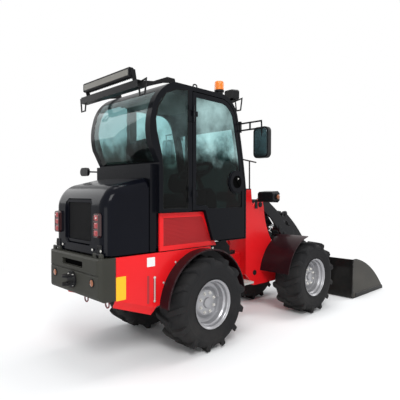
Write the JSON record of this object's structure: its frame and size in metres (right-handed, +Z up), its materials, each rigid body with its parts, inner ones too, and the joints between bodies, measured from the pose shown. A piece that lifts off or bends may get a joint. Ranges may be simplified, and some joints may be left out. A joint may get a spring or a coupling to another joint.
{
  "type": "electric loader",
  "caption": "Compact articulated electric wheel loader with a glazed cab, hinged doors and hood, lift arm, tilt linkage, bucket and lugged tyres.",
  "frame": {"origin": "centre of the bounding box in X and Y, on the ground", "axes": "+X forward towards the bucket, +Y to the left, +Z up"},
  "size_m": [4.555, 1.514, 2.362],
  "materials": {
    "red_paint": "gloss",
    "black_paint": "gloss",
    "dark_frame": "satin",
    "olive_casting": "matte",
    "battery_case": "matte",
    "cab_paint": "gloss",
    "roof_plastic": "matte",
    "tinted_glass": "clear",
    "seat_cloth": "woven",
    "cab_plastic": "textured",
    "lamp_black": "matte",
    "amber_lens": "gloss",
    "red_lens": "gloss",
    "step_zinc": "tread plate",
    "tyre_rubber": "matte",
    "rim_silver": "satin",
    "chrome_rod": "polished",
    "bucket_paint": "satin"
  },
  "bodies": {
    "rear": {"rear_frame": "dark_frame", "side_panels": "red_paint", "rear_flares": "black_paint", "counterweight": "olive_casting", "tow_hitch": "dark_frame", "battery": "battery_case", "cab_frame": "cab_paint", "cab_roof": "roof_plastic", "windscreen": "tinted_glass", "rear_glass": "tinted_glass", "quarter_glasses": "tinted_glass", "side_grilles": "red_paint", "seat": "seat_cloth", "console": "cab_plastic", "light_bar": "lamp_black", "beacon": "amber_lens", "work_lamps": "lamp_black", "mirrors": "lamp_black", "steps": "step_zinc"},
    "door_left": {"door_left": "cab_paint", "door_glass_left": "tinted_glass"},
    "door_right": {"door_right": "cab_paint", "door_glass_right": "tinted_glass"},
    "hood": {"hood": "black_paint", "rear_grille": "black_paint", "tail_lamps": "red_lens"},
    "front": {"front_frame": "red_paint", "front_fenders": "black_paint", "headlamps": "lamp_black"},
    "boom": {"boom": "dark_frame"},
    "rocker": {"rocker": "dark_frame"},
    "link": {"link": "dark_frame"},
    "bucket": {"bucket": "bucket_paint"},
    "lift_barrel": {"lift_barrel": "dark_frame"},
    "lift_rod": {"lift_rod": "chrome_rod"},
    "tilt_barrel": {"tilt_barrel": "dark_frame"},
    "tilt_rod": {"tilt_rod": "chrome_rod"},
    "wheel_rear_left": {"tyre_rear_left": "tyre_rubber", "rim_rear_left": "rim_silver"},
    "wheel_rear_right": {"tyre_rear_right": "tyre_rubber", "rim_rear_right": "rim_silver"},
    "wheel_front_left": {"tyre_front_left": "tyre_rubber", "rim_front_left": "rim_silver"},
    "wheel_front_right": {"tyre_front_right": "tyre_rubber", "rim_front_right": "rim_silver"}
  },
  "joints": [
    {"name": "articulation", "type": "hinge", "parent": "rear", "child": "front", "pos_m": [-0.3625, 0, 0.56], "axis": [0, 0, 1], "range_deg": [-40, 40]},
    {"name": "door_left_hinge", "type": "hinge", "parent": "rear", "child": "door_left", "pos_m": [-1.3305, 0.462, 1.68], "axis": [0, 0, 1], "range_deg": [0, 95]},
    {"name": "door_right_hinge", "type": "hinge", "parent": "rear", "child": "door_right", "pos_m": [-1.3305, -0.462, 1.68], "axis": [0, 0, -1], "range_deg": [0, 95]},
    {"name": "hood_hinge", "type": "hinge", "parent": "rear", "child": "hood", "pos_m": [-2.1605, 0, 0.898], "axis": [0, -1, 0], "range_deg": [0, 60]},
    {"name": "boom_lift", "type": "hinge", "parent": "front", "child": "boom", "pos_m": [-0.0075, 0, 1.222], "axis": [0, -1, 0], "range_deg": [0, 78]},
    {"name": "bucket_tilt", "type": "hinge", "parent": "boom", "child": "bucket", "pos_m": [1.2375, 0, 0.205], "axis": [0, -1, 0], "range_deg": [-118, 42]},
    {"name": "rocker_swing", "type": "hinge", "parent": "boom", "child": "rocker", "pos_m": [0.5125, 0, 0.852], "axis": [0, -1, 0], "range_deg": [-89, 31.7]},
    {"name": "link_swing", "type": "hinge", "parent": "rocker", "child": "link", "pos_m": [0.6125, 0, 1.092], "axis": [0, -1, 0], "range_deg": [-33, 92.6]},
    {"name": "tilt_barrel_swing", "type": "hinge", "parent": "boom", "child": "tilt_barrel", "pos_m": [0.0745, 0, 1.248], "axis": [0, -1, 0], "range_deg": [-7.4, 2.7]},
    {"name": "tilt_rod_slide", "type": "slide", "parent": "tilt_barrel", "child": "tilt_rod", "axis": [0.8879, 0, -0.4601], "range_m": [-0.068, 0.19]},
    {"name": "lift_barrel_swing", "type": "hinge", "parent": "front", "child": "lift_barrel", "pos_m": [-0.1025, 0, 0.47], "axis": [0, -1, 0], "range_deg": [0, 24.5]},
    {"name": "lift_rod_slide", "type": "slide", "parent": "lift_barrel", "child": "lift_rod", "axis": [0.7441, 0, 0.6681], "range_m": [0, 0.54]},
    {"name": "spin_rear_left", "type": "hinge", "parent": "rear", "child": "wheel_rear_left", "pos_m": [-1.1875, 0.418, 0.4], "axis": [0, 1, 0], "continuous": true},
    {"name": "spin_rear_right", "type": "hinge", "parent": "rear", "child": "wheel_rear_right", "pos_m": [-1.1875, -0.418, 0.4], "axis": [0, 1, 0], "continuous": true},
    {"name": "spin_front_left", "type": "hinge", "parent": "front", "child": "wheel_front_left", "pos_m": [0.4625, 0.418, 0.4], "axis": [0, 1, 0], "continuous": true},
    {"name": "spin_front_right", "type": "hinge", "parent": "front", "child": "wheel_front_right", "pos_m": [0.4625, -0.418, 0.4], "axis": [0, 1, 0], "continuous": true}
  ],
  "couplings": [
    {"joint": "rocker_swing", "follows": "bucket_tilt", "ratio": 0.754},
    {"joint": "link_swing", "follows": "bucket_tilt", "ratio": -0.784},
    {"joint": "tilt_barrel_swing", "follows": "bucket_tilt", "ratio": 0.062},
    {"joint": "tilt_rod_slide", "follows": "bucket_tilt", "m_per_rad": -0.092},
    {"joint": "lift_barrel_swing", "follows": "boom_lift", "ratio": 0.313},
    {"joint": "lift_rod_slide", "follows": "boom_lift", "m_per_rad": 0.396}
  ]
}
